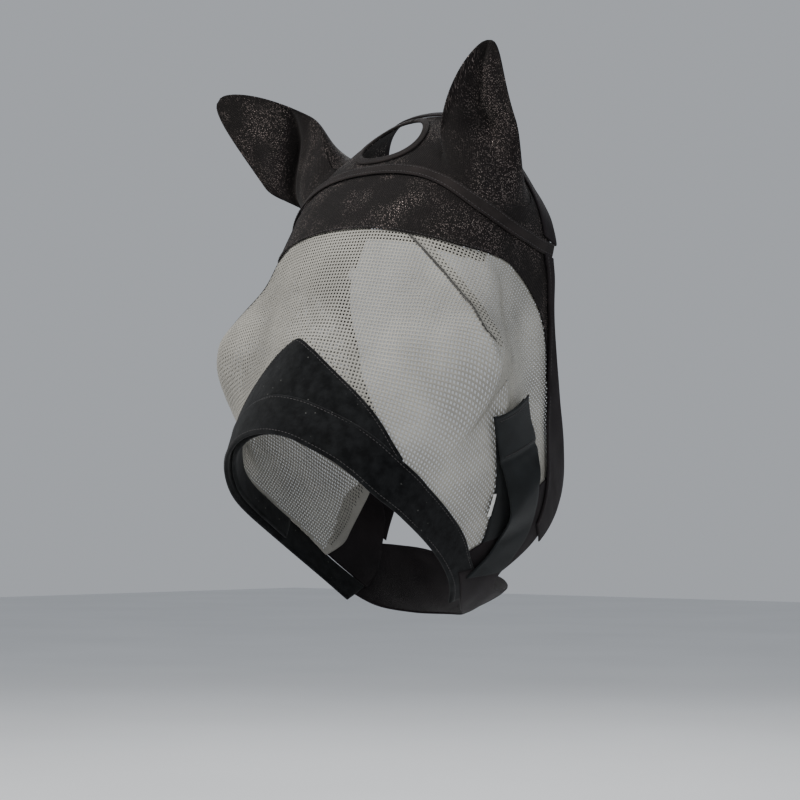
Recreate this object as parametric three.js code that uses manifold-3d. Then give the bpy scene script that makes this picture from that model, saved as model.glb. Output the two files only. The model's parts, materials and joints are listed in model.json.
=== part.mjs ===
// A horse's fly mask with ear covers, fastened on as worn.
// Millimetres. +Z is up, +X is the horse's left, and the face looks towards -Y, leaning forward.
// The origin is on the forehead, at the middle of the seam between the knitted brow and the mesh.
//
// Every panel is a thin layer cut out of one head form. A place on that form is given as
// [around, along]: degrees around the head from the middle of the forehead, positive to the
// horse's left, and millimetres down the face from the brow seam, negative towards the poll.

import * as THREE from 'three';
import { mergeVertices } from 'three/addons/utils/BufferGeometryUtils.js';
import Module from 'manifold-3d';

const wasm = await Module();
wasm.setup();

const { degToRad, lerp, clamp, smoothstep } = THREE.MathUtils;

// ---------------------------------------------------------------- head form

const HEAD_TILT = degToRad(31);      // lean of the face from plumb
const FIRST_STATION = -225;          // cross-sections of the head, from behind the poll
const STATION_STEP = 75;             // to the lower end of the nose
const FOREHEAD_DEPTH = [100, 32, 5, 0, 6, 9, 14, 17];
const WIDEST_DEPTH = [148, 121, 102, 94, 104, 114, 119, 122];
const JAW_DEPTH = [240, 272, 294, 318, 356, 352, 306, 224];
const HALF_WIDTH = [56, 74, 122, 128, 124, 128, 95, 70];
const FACE_ROUNDNESS = [2.4, 2.4, 2.4, 2.4, 2.0, 1.5, 2.0, 2.0];  // superellipse exponents,
const JAW_ROUNDNESS = 2.3;           // in front of and behind the widest place
const EYE_CUP = { along: 97, around: 71, height: 55, reachAlong: 52, reachAround: 22 };
const NORMAL_STEP = 0.4;             // half the span over which a surface normal is measured

// ---------------------------------------------------------------- layers, as lifts off the head

const LINING = [-5, -1.2];
const SEAM_TAPE = [-4.8, -3.8];
const DART_TAPE = [-2.8, -1.8];
const MESH = [0, 1];
const KNIT = [2, 3];
const BAND = [2, 3.6];
const PATCH = [2, 5];
const TAPE = [4.4, 5.4];
const EDGE = [4.8, 6.4];
const LOOP_STRIP = [4.6, 5.6];
const HOOK_TAPE = [6.8, 7.8];
const FLAP = [5.6, 7.6];
const STRAP = [9.0, 11.0];
const LABEL = [2, 2.6];

// ---------------------------------------------------------------- edges of the panels

const SEAM_LAP = 5;                  // how far one panel lies over the next at a seam
const PANEL_GAP = 0.8;               // between panels that only meet

const BROW_SEAM = [[0, 0], [30, 3], [45, 3], [60, 1], [76, -7], [89, -13]];
const MESH_REAR = [[89, -13], [98, -8], [105, 0], [110, 18], [113, 43], [118, 77], [121, 102],
  [123, 125], [123, 150], [122, 180], [121, 200], [117, 220]];
const PATCH_EDGE = [[0, 122], [12, 131], [22, 143], [34, 159], [48, 178], [60, 193], [70, 202]];
const NOSE_SIDE_EDGE = [[70, 202], [90, 206], [98, 209], [107, 212], [117, 220]];
const NOSE_BAND_TOP = [[0, 181], [16, 183], [30, 188], [44, 193], [57, 198], [70, 203], [90, 207],
  [107, 213], [117, 221], [127, 226], [137, 231]];
const NOSE_BAND_FOOT = [[0, 220], [16, 222], [30, 227], [44, 231], [55, 235], [70, 240],
  [88, 241], [104, 243], [121, 248], [137, 256]];
const TAPE_FOOT = [[0, -58], [20, -55], [34, -49], [54, -36], [66, -32], [78, -32], [89, -37],
  [98, -50]];
const TAPE_TOP = [[0, -70], [20, -67], [34, -61], [54, -50], [66, -47], [78, -46], [89, -51],
  [97.5, -64]];
const BROW_BAND_REAR = [[98, -49], [101.5, -33], [105, -14], [110, 10], [112, 40]];
const BROW_BAND_FOOT_END = [[89, -9], [97, -4], [103, 6], [107, 22], [110, 46]];
const EDGE_BAND_INNER = [[95.5, -44.5], [98, -35], [102, -14], [106, 12], [109, 43], [112, 75],
  [115.5, 100], [119, 120], [122.5, 140], [126, 158]];
const EDGE_BAND_OUTER = [[98.8, -48], [101.6, -35], [105, -14], [109.5, 11], [117.5, 48],
  [125.5, 75], [131, 98], [133, 126], [134, 145], [135, 162]];
const POLL_SIDE = [[95.5, -66], [93.5, -78], [91.5, -92], [87.5, -108], [81.5, -122],
  [72.5, -134], [60, -143], [40, -150], [20, -154], [0, -155]];
const POLL_BAND_OUTER = [[98.5, -67.5], [96.6, -79], [94.5, -93.5], [90, -111], [84, -126],
  [74.5, -139], [61, -149], [40, -157], [20, -161], [0, -162]];
const THROAT_FRONT = [[121, 117], [118, 133], [117, 150], [117, 180], [116.5, 200], [115.5, 220]];
const THROAT_REAR = [[121, 117], [127, 126], [131, 140], [133, 158], [134.5, 176]];
const THROAT_INNER_END = [[134.5, 176], [137, 206], [138, 232]];
const THROAT_FOOT = [[115.5, 220], [127, 226], [138, 232]];

const DART_SEAM = [[28, 4], [49, 31], [58, 48], [64, 67], [67, 84], [72, 94]];
const DART_TAPE_EDGE = [[37, 4], [57, 30], [66, 46], [72, 64], [76, 80], [78, 92]];

const STRAP_FRONT = [[90.5, 135], [92.5, 141], [95, 147], [98, 153], [102, 160], [106.5, 170],
  [111.5, 181], [117, 196], [120.5, 213], [123, 236]];
const STRAP_REAR = [[97, 92], [100.5, 104], [104.5, 109], [107.5, 117], [108.5, 131], [111, 144],
  [116, 153], [122, 165], [127, 184], [132, 206]];
const STRAP_STUCK = 0.2;             // share of the strap's length pressed down at its end
const STRAP_BULGE = 9;               // how far the loose length stands off the cheek
const STRAP_BULGE_END = 0.66;
const LOOP_FRONT = [[91.5, 133], [95, 143], [98, 152], [101, 160], [105, 172], [109, 185],
  [113.5, 198], [116, 206]];
const LOOP_REAR = [[99, 94], [103, 105], [106.5, 110], [109.5, 119], [111.5, 131], [114, 144],
  [118, 155], [123, 170]];
const FLAP_FRONT = [[119, 238], [134, 246], [148, 246], [164, 236], [180, 230], [196, 236],
  [212, 244], [229, 242]];
const FLAP_REAR = [[131, 196], [137, 211], [146, 212], [158, 196], [170, 176], [180, 163],
  [195, 152], [210, 150], [221, 160], [230, 174]];
const LABEL_PATCH = [[[103, 176], [107, 192]], [[108, 168], [112, 184]]];

const FORELOCK_OPENING = { around: 0, along: -112, reachAround: 15, reachAlong: 32 };
const BINDING_INNER = 0.92;          // sizes of the binding, as shares of the opening's
const BINDING_OUTER = 1.16;
const BINDING_TURN = 0.995;          // share of a full turn

// ---------------------------------------------------------------- ear covers

const EAR_BASE = { around: 59.5, along: -88, reachAround: 26.5, reachAlong: 33 };
const EAR_HOLE_REACH = 1.14;         // the crown's hole round each ear cover
const EAR_SEAM_GAP = degToRad(3);
const EAR_FLAT_FROM = 0.4;           // share of the height by which the cone has become flat
const EAR_TAPER = 0.55;
const EAR_TIP_SHARE = 0.965;
const EAR_FABRIC = 1.2;
const EAR_FRONT_VALLEY = 7;          // the front is drawn into the horse's ear
const EAR_BACK_DEPTH = 26;
const EARS = {
  left: { side: 1, tip: [27, -34, 115], facing: [0.5, -0.86, 0], halfWidth: 45, bow: [-7, -9, 0] },
  right: {
    side: -1, tip: [-108, -52, 102], facing: [0.25, -0.95, -0.2], halfWidth: 58, bow: [3, 0, 5],
  },
};

// ---------------------------------------------------------------- colours

const FINISHES = {
  mesh: { color: 0xb4b1a8, roughness: 0.6 },
  knit: { color: 0x1d1917, roughness: 0.75 },
  band: { color: 0x2b2628, roughness: 0.8 },
  fleece: { color: 0x1c1e1e, roughness: 0.95 },
  tape: { color: 0x1f1b1a, roughness: 0.85 },
  webbing: { color: 0x2c3234, roughness: 0.8 },
  hook: { color: 0x16181a, roughness: 0.9 },
  label: { color: 0xe8e6e0, roughness: 0.7 },
};

// ---------------------------------------------------------------- the head form's surface

function atStation(values, along) {
  const place = (along - FIRST_STATION) / STATION_STEP;
  const index = clamp(Math.floor(place), 0, values.length - 2);
  const share = place - index;
  const here = values[index];
  const next = values[index + 1];
  const before = values[index - 1] ?? 2 * here - next;
  const after = values[index + 2] ?? 2 * next - here;
  const bend = 2 * before - 5 * here + 4 * next - after;
  const twist = 3 * here - before - 3 * next + after;
  return here + 0.5 * share * (next - before + share * (bend + share * twist));
}

function skin(around, along) {
  const turn = around > 180 ? around - 360 : around;
  const side = Math.sign(turn);
  const angle = degToRad(Math.abs(turn));
  const widest = atStation(WIDEST_DEPTH, along);
  const inFront = angle < Math.PI / 2;
  const power = 2 / (inFront ? atStation(FACE_ROUNDNESS, along) : JAW_ROUNDNESS);
  const reach = inFront ? atStation(FOREHEAD_DEPTH, along) : atStation(JAW_DEPTH, along);
  const across = atStation(HALF_WIDTH, along) * Math.sin(angle) ** power;
  const behind = (reach - widest) * Math.abs(Math.cos(angle)) ** power;
  const cupAlong = (along - EYE_CUP.along) / EYE_CUP.reachAlong;
  const cupAround = (Math.abs(turn) - EYE_CUP.around) / EYE_CUP.reachAround;
  const cup = EYE_CUP.height * Math.exp(-(cupAlong ** 2) - cupAround ** 2);
  const grow = 1 + cup / Math.hypot(across, behind);
  const depth = widest + behind * grow;
  return new THREE.Vector3(
    side * across * grow,
    depth * Math.cos(HEAD_TILT) - along * Math.sin(HEAD_TILT),
    -depth * Math.sin(HEAD_TILT) - along * Math.cos(HEAD_TILT),
  );
}

function headPoint(around, along, lift = 0) {
  const acrossWay = skin(around + NORMAL_STEP, along).sub(skin(around - NORMAL_STEP, along));
  const downWay = skin(around, along + NORMAL_STEP).sub(skin(around, along - NORMAL_STEP));
  const outward = downWay.cross(acrossWay).normalize();
  return skin(around, along).addScaledVector(outward, lift);
}

// ---------------------------------------------------------------- closed layers

function solidFrom(positions, triangles) {
  const geometry = new THREE.BufferGeometry();
  geometry.setAttribute('position', new THREE.Float32BufferAttribute(positions, 3));
  geometry.setIndex(triangles);
  return facingOut(geometry);
}

function facingOut(geometry) {
  const position = geometry.getAttribute('position');
  const corners = [new THREE.Vector3(), new THREE.Vector3(), new THREE.Vector3()];
  const order = geometry.getIndex().array;
  let volume = 0;
  for (let i = 0; i < order.length; i += 3) {
    corners.forEach((corner, k) => corner.fromBufferAttribute(position, order[i + k]));
    volume += corners[0].dot(corners[1].clone().cross(corners[2]));
  }
  if (volume < 0) {
    for (let i = 0; i < order.length; i += 3) [order[i], order[i + 1]] = [order[i + 1], order[i]];
  }
  geometry.computeVertexNormals();
  return geometry;
}

// A thin closed layer: pointAt(u, v, face) gives its inner face (0) and outer face (1).
function layer(pointAt, columns, rows) {
  const positions = [];
  const triangles = [];
  const faceSize = (columns + 1) * (rows + 1);
  for (let face = 0; face < 2; face += 1) {
    for (let row = 0; row <= rows; row += 1) {
      for (let column = 0; column <= columns; column += 1) {
        positions.push(...pointAt(column / columns, row / rows, face));
      }
    }
  }
  const at = (column, row, face) => face * faceSize + row * (columns + 1) + column;
  const quad = (a, b, c, d) => triangles.push(a, b, c, a, c, d);
  for (let row = 0; row < rows; row += 1) {
    for (let column = 0; column < columns; column += 1) {
      quad(at(column, row, 1), at(column + 1, row, 1), at(column + 1, row + 1, 1), at(column, row + 1, 1));
      quad(at(column, row, 0), at(column, row + 1, 0), at(column + 1, row + 1, 0), at(column + 1, row, 0));
    }
  }
  for (let column = 0; column < columns; column += 1) {
    quad(at(column, 0, 0), at(column + 1, 0, 0), at(column + 1, 0, 1), at(column, 0, 1));
    quad(at(column, rows, 0), at(column, rows, 1), at(column + 1, rows, 1), at(column + 1, rows, 0));
  }
  for (let row = 0; row < rows; row += 1) {
    quad(at(0, row, 0), at(0, row, 1), at(0, row + 1, 1), at(0, row + 1, 0));
    quad(at(columns, row, 0), at(columns, row + 1, 0), at(columns, row + 1, 1), at(columns, row, 1));
  }
  return solidFrom(positions, triangles);
}

const mirrored = (points) => points.map(([around, along]) => [-around, along]);
const moved = (points, by) => points.map(([around, along]) => [around, along + by]);
const bothSides = (points) => [...mirrored(points).reverse(), ...points.slice(1)];
const onSide = (points, side) => (side < 0 ? mirrored(points) : points);

function edge(points) {
  return new THREE.SplineCurve(points.map(([around, along]) => new THREE.Vector2(around, along)));
}

// The area between two edges that run the same way.
function ruled(first, second) {
  const [top, foot] = [edge(first), edge(second)];
  return (u, v) => top.getPointAt(u).lerp(foot.getPointAt(u), v);
}

// The area inside four edges: top and foot run the same way, as do start and finish.
function bordered(topPoints, footPoints, startPoints, finishPoints) {
  const [top, foot, start, finish] = [topPoints, footPoints, startPoints, finishPoints].map(edge);
  const mix = (a, b, share) => a.clone().lerp(b, share);
  return (u, v) => {
    const down = mix(top.getPointAt(u), foot.getPointAt(u), v);
    const across = mix(start.getPointAt(v), finish.getPointAt(v), u);
    const upper = mix(top.getPointAt(0), top.getPointAt(1), u);
    const lower = mix(foot.getPointAt(0), foot.getPointAt(1), u);
    return down.add(across).sub(mix(upper, lower, v));
  };
}

function panel(area, [innerLift, outerLift], columns, rows, extraLift = () => 0) {
  const pointAt = (u, v, face) => {
    const place = area(u, v);
    const lift = face === 0 ? innerLift : outerLift;
    return headPoint(place.x, place.y, lift + extraLift(u, v));
  };
  return layer(pointAt, columns, rows);
}

// ---------------------------------------------------------------- joins and cuts

function manifoldOf(geometry) {
  const bare = new THREE.BufferGeometry();
  bare.setAttribute('position', geometry.getAttribute('position').clone());
  bare.setIndex(geometry.getIndex().clone());
  const merged = mergeVertices(bare);
  return new wasm.Manifold(new wasm.Mesh({
    numProp: 3,
    vertProperties: new Float32Array(merged.getAttribute('position').array),
    triVerts: new Uint32Array(merged.getIndex().array),
  }));
}

function cut(geometry, plugs) {
  const solid = plugs.reduce((left, plug) => left.subtract(manifoldOf(plug)), manifoldOf(geometry));
  const mesh = solid.getMesh();
  return solidFrom(Array.from(mesh.vertProperties), Array.from(mesh.triVerts));
}

// A plug through the head form with the outline of an oval opening.
function ovalPlug(oval, reach, sides = 40, depth = 14) {
  const positions = [];
  const triangles = [];
  for (const lift of [-depth, depth]) {
    for (let i = 0; i < sides; i += 1) {
      positions.push(...ovalPoint(oval, (2 * Math.PI * i) / sides, lift, reach));
    }
  }
  positions.push(...headPoint(oval.around, oval.along, -depth));
  positions.push(...headPoint(oval.around, oval.along, depth));
  for (let i = 0; i < sides; i += 1) {
    const next = (i + 1) % sides;
    triangles.push(i, next, sides + next, i, sides + next, sides + i);
    triangles.push(next, i, 2 * sides, sides + i, sides + next, 2 * sides + 1);
  }
  return solidFrom(positions, triangles);
}

function ovalPoint(oval, turn, lift = 0, reach = 1) {
  const around = oval.around + oval.reachAround * reach * Math.cos(turn);
  const along = oval.along + oval.reachAlong * reach * Math.sin(turn);
  return headPoint(around, along, lift);
}

// ---------------------------------------------------------------- the face

function faceMesh() {
  const top = bothSides(BROW_SEAM);
  const foot = bothSides(moved([...PATCH_EDGE, ...NOSE_SIDE_EDGE.slice(1)], SEAM_LAP));
  const finish = [...MESH_REAR.slice(0, -1), ...moved(MESH_REAR.slice(-1), SEAM_LAP)];
  return panel(bordered(top, foot, mirrored(finish), finish), MESH, 44, 18);
}

function dartTape(side) {
  const area = ruled(onSide(DART_SEAM, side), onSide(DART_TAPE_EDGE, side));
  return panel(area, DART_TAPE, 8, 2);
}

function browSeamTape() {
  const seam = bothSides(BROW_SEAM.slice(0, -1));
  return panel(ruled(moved(seam, 2), moved(seam, 2 + 2 * SEAM_LAP)), SEAM_TAPE, 24, 1);
}

// ---------------------------------------------------------------- the crown

function browBand() {
  const foot = [...moved(BROW_SEAM, SEAM_LAP).slice(0, -1), ...BROW_BAND_FOOT_END];
  const top = [...moved(TAPE_FOOT, PANEL_GAP), ...BROW_BAND_REAR.slice(1)];
  return panel(ruled(bothSides(top), bothSides(foot)), KNIT, 44, 3);
}

const browTape = () => panel(ruled(bothSides(TAPE_TOP), bothSides(TAPE_FOOT)), TAPE, 36, 1);

function pollPanel() {
  const front = bothSides(moved(TAPE_TOP, -PANEL_GAP));
  const rear = bothSides([...POLL_SIDE].reverse());
  const crown = panel(ruled(rear, front), KNIT, 36, 10);
  const earOvals = [1, -1].map((side) => ({ ...EAR_BASE, around: side * EAR_BASE.around }));
  const ears = earOvals.map((oval) => ovalPlug(oval, EAR_HOLE_REACH));
  return cut(crown, [...ears, ovalPlug(FORELOCK_OPENING, 1, 28)]);
}

function pollEdgeBand() {
  const inner = bothSides([...moved(POLL_SIDE, -PANEL_GAP)].reverse());
  const outer = bothSides([...POLL_BAND_OUTER].reverse());
  return panel(ruled(inner, outer), EDGE, 36, 1);
}

// One length of tape round the forelock opening, its two ends meeting at the back.
function forelockBinding() {
  const ring = (u, v, face) => {
    const turn = -Math.PI / 2 + 2 * Math.PI * BINDING_TURN * u;
    return ovalPoint(FORELOCK_OPENING, turn, TAPE[face], lerp(BINDING_INNER, BINDING_OUTER, v));
  };
  return layer(ring, 28, 1);
}

// ---------------------------------------------------------------- one ear cover, in two halves

function earPanel({ side, tip, facing, halfWidth, bow }, isFront) {
  const base = { ...EAR_BASE, around: side * EAR_BASE.around, reachAround: side * EAR_BASE.reachAround };
  const foot = headPoint(base.around, base.along);
  const axis = new THREE.Vector3(...tip);
  const face = new THREE.Vector3(...facing);
  face.addScaledVector(axis, -face.dot(axis) / axis.lengthSq()).normalize();
  const wide = new THREE.Vector3().crossVectors(axis, face).normalize();
  if (wide.x * side < 0) wide.negate();

  const middle = (share, height) => {
    const turn = (isFront ? 1 : -1) * lerp(EAR_SEAM_GAP, Math.PI - EAR_SEAM_GAP, share);
    const round = ovalPoint(base, turn).sub(foot);
    const hollow = isFront ? EAR_FRONT_VALLEY : EAR_BACK_DEPTH;
    const flat = wide.clone().multiplyScalar(halfWidth * Math.cos(turn));
    flat.addScaledVector(face, -hollow * Math.abs(Math.sin(turn)));
    const narrow = (1 - height) ** EAR_TAPER;
    const spread = round.lerp(flat, smoothstep(height, 0, EAR_FLAT_FROM)).multiplyScalar(narrow);
    const bend = new THREE.Vector3(...bow).multiplyScalar(4 * height * (1 - height));
    return foot.clone().addScaledVector(axis, height).add(bend).add(spread);
  };
  const pointAt = (u, v, layerFace) => {
    const height = v * EAR_TIP_SHARE;
    const step = 0.01;
    const acrossWay = middle(u + step, height).sub(middle(u - step, height));
    const upWay = middle(u, height + step).sub(middle(u, height - step));
    const outward = acrossWay.cross(upWay).normalize();
    const towardsFace = isFront ? 1 : -1;
    if (outward.dot(face) * towardsFace < 0) outward.negate();
    return middle(u, height).addScaledVector(outward, layerFace * EAR_FABRIC);
  };
  return layer(pointAt, 12, 9);
}

// ---------------------------------------------------------------- nose, edges and throat

function nosePatch() {
  const top = bothSides(PATCH_EDGE);
  const foot = bothSides(moved(NOSE_BAND_TOP.slice(0, 6), -PANEL_GAP));
  return panel(ruled(top, foot), PATCH, 20, 4);
}

const noseBand = () => panel(ruled(bothSides(NOSE_BAND_TOP), bothSides(NOSE_BAND_FOOT)), PATCH, 44, 3);

function noseLining() {
  const top = bothSides([...moved(PATCH_EDGE, 12), [100, 219]]);
  const foot = bothSides([...moved(NOSE_BAND_FOOT.slice(0, 7), -3), [100, 240]]);
  return panel(ruled(top, foot), LINING, 30, 3);
}

const edgeBand = (side) => panel(
  ruled(onSide(EDGE_BAND_INNER, side), onSide(EDGE_BAND_OUTER, side)), EDGE, 22, 1,
);

function throatPanel(side) {
  const area = bordered(
    onSide(THROAT_REAR, side),
    onSide(moved(THROAT_FOOT, -PANEL_GAP), side),
    onSide([...THROAT_FRONT.slice(0, -1), ...moved(THROAT_FRONT.slice(-1), -PANEL_GAP)], side),
    onSide([...THROAT_INNER_END.slice(0, -1), ...moved(THROAT_INNER_END.slice(-1), -PANEL_GAP)], side),
  );
  return panel(area, BAND, 8, 8);
}

// ---------------------------------------------------------------- the closure

const cheekLoopStrip = () => panel(ruled(LOOP_FRONT, LOOP_REAR), LOOP_STRIP, 14, 3);

const throatFlap = () => panel(ruled(FLAP_FRONT, FLAP_REAR), FLAP, 20, 5);

function strapStandOff(u) {
  const loose = clamp((u - STRAP_STUCK) / (STRAP_BULGE_END - STRAP_STUCK), 0, 1);
  return STRAP_BULGE * Math.sin(Math.PI * loose) ** 2;
}

const closureStrap = () => panel(ruled(STRAP_FRONT, STRAP_REAR), STRAP, 20, 3, strapStandOff);

function strapHookTape() {
  const area = ruled(STRAP_FRONT, STRAP_REAR);
  return panel((u, v) => area(lerp(0.01, STRAP_STUCK, u), lerp(0.06, 0.94, v)), HOOK_TAPE, 4, 3);
}

const sideLabel = () => panel(ruled(...LABEL_PATCH), LABEL, 2, 2);

// ---------------------------------------------------------------- the whole mask

const mask = new THREE.Group();

function add(name, geometry, finish) {
  const material = new THREE.MeshStandardMaterial({ ...FINISHES[finish], metalness: 0 });
  const mesh = new THREE.Mesh(geometry, material);
  mesh.name = name;
  mask.add(mesh);
}

add('face_mesh', faceMesh(), 'mesh');
add('brow_seam_tape', browSeamTape(), 'tape');
add('brow_band', browBand(), 'knit');
add('brow_tape', browTape(), 'tape');
add('poll_panel', pollPanel(), 'knit');
add('poll_edge_band', pollEdgeBand(), 'band');
add('forelock_binding', forelockBinding(), 'tape');
for (const [name, ear] of Object.entries(EARS)) {
  add(`${name}_dart_tape`, dartTape(ear.side), 'mesh');
  add(`${name}_ear_front`, earPanel(ear, true), 'knit');
  add(`${name}_ear_back`, earPanel(ear, false), 'knit');
  add(`${name}_edge_band`, edgeBand(ear.side), 'band');
  add(`${name}_throat_panel`, throatPanel(ear.side), 'band');
}
add('nose_patch', nosePatch(), 'fleece');
add('nose_band', noseBand(), 'fleece');
add('nose_lining', noseLining(), 'fleece');
add('cheek_loop_strip', cheekLoopStrip(), 'hook');
add('throat_flap', throatFlap(), 'band');
add('closure_strap', closureStrap(), 'webbing');
add('strap_hook_tape', strapHookTape(), 'hook');
add('side_label', sideLabel(), 'label');

export default mask;
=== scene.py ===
# The look of a horse's fly mask with ear covers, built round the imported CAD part.
# Metres outside, millimetres and degrees while a panel is laid out. +Z is up, +X is the horse's
# left, and the face looks towards -Y. A place on the head form is (around, along): degrees
# around the head from the middle of the forehead, and millimetres down the face from the brow.

import json
import math

import bpy
import numpy as np
from mathutils import Vector
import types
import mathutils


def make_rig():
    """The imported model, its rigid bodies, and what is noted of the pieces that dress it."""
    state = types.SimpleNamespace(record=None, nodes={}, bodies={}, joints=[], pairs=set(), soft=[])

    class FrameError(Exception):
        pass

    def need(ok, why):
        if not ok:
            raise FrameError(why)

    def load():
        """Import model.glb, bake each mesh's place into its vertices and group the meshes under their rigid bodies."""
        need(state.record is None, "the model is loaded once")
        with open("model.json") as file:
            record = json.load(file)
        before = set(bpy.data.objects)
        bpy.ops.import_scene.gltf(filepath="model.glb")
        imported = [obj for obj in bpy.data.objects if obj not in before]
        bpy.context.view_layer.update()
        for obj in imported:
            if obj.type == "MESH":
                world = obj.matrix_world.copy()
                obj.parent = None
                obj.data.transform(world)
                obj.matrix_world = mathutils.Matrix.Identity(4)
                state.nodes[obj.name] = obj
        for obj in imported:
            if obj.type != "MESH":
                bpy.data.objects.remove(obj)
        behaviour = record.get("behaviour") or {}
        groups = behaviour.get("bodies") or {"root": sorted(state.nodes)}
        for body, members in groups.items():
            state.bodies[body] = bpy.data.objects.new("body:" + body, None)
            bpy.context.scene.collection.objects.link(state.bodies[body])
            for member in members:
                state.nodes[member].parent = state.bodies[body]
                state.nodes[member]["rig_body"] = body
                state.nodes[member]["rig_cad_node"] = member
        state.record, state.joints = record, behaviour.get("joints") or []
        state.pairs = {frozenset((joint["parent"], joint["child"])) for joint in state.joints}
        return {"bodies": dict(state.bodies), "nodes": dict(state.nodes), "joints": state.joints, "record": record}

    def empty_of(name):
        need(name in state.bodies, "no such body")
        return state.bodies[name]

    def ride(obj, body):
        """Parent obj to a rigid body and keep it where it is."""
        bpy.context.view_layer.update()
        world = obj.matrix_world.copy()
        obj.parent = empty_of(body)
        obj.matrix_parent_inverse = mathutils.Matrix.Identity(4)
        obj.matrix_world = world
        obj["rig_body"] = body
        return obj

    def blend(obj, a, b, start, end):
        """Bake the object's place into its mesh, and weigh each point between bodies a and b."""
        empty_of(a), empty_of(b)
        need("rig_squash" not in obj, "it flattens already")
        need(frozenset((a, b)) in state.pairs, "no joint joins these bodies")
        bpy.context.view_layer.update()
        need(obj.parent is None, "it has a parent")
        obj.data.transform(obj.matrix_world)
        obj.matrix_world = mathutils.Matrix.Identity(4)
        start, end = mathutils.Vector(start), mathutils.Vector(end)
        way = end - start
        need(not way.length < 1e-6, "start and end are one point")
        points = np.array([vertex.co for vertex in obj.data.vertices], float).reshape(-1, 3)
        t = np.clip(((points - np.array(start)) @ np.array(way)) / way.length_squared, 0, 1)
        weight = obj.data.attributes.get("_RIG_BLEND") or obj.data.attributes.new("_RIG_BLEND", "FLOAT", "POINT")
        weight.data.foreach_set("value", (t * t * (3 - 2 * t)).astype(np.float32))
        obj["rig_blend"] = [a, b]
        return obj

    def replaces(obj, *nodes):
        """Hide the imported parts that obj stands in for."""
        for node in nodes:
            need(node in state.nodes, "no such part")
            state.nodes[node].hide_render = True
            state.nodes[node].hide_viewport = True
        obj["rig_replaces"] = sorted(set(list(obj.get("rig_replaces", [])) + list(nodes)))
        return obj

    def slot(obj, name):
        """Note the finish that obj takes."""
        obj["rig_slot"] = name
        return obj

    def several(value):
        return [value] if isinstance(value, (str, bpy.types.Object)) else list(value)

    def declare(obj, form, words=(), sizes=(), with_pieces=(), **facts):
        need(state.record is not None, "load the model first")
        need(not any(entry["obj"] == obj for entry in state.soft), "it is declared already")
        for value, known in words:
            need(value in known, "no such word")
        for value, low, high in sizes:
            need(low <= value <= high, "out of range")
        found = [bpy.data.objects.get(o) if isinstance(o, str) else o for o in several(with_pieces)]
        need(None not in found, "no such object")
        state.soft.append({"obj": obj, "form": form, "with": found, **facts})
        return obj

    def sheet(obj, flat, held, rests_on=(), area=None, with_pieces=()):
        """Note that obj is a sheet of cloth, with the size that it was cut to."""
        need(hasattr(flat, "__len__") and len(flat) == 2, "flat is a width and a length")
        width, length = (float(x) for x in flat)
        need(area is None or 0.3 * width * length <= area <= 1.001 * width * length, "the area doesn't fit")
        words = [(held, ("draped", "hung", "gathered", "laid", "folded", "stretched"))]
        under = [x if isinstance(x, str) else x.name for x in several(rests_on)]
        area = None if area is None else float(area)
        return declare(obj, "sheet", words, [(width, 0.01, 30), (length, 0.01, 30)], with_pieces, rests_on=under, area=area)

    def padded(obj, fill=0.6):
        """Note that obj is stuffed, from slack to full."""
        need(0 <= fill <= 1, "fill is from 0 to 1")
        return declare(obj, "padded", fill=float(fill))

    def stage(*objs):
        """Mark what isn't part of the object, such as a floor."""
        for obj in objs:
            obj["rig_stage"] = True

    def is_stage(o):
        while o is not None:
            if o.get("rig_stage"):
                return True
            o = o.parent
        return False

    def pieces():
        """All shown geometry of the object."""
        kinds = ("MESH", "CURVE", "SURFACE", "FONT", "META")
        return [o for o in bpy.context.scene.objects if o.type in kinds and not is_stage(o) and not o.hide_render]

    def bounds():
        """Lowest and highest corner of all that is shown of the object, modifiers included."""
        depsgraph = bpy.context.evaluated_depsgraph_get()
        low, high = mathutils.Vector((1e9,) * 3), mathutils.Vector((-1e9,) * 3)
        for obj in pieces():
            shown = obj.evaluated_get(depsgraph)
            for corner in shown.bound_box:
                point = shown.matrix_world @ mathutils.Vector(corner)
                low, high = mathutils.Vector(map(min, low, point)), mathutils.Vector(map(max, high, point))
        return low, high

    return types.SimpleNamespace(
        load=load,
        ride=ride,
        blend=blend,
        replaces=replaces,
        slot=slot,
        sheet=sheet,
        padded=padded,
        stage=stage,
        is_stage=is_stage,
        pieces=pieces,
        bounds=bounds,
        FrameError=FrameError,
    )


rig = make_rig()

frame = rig.load()
cad_low, cad_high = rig.bounds()

MM = 0.001

# ---------------- head form

HEAD_TILT = math.radians(31)
FIRST_STATION, STATION_STEP = -225, 75
FOREHEAD_DEPTH = [100, 32, 5, 0, 6, 9, 14, 17]
WIDEST_DEPTH = [148, 121, 102, 94, 104, 114, 119, 122]
JAW_DEPTH = [240, 272, 294, 318, 356, 352, 306, 224]
HALF_WIDTH = [56, 74, 122, 128, 124, 128, 95, 70]
FACE_ROUNDNESS = [2.4, 2.4, 2.4, 2.4, 2.0, 1.5, 2.0, 2.0]
JAW_ROUNDNESS = 2.3
EYE_ALONG, EYE_AROUND, EYE_HEIGHT, EYE_REACH_ALONG, EYE_REACH_AROUND = 97, 71, 55, 52, 22
NORMAL_STEP = 0.4

# ---------------- layers, as lifts off the head

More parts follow.
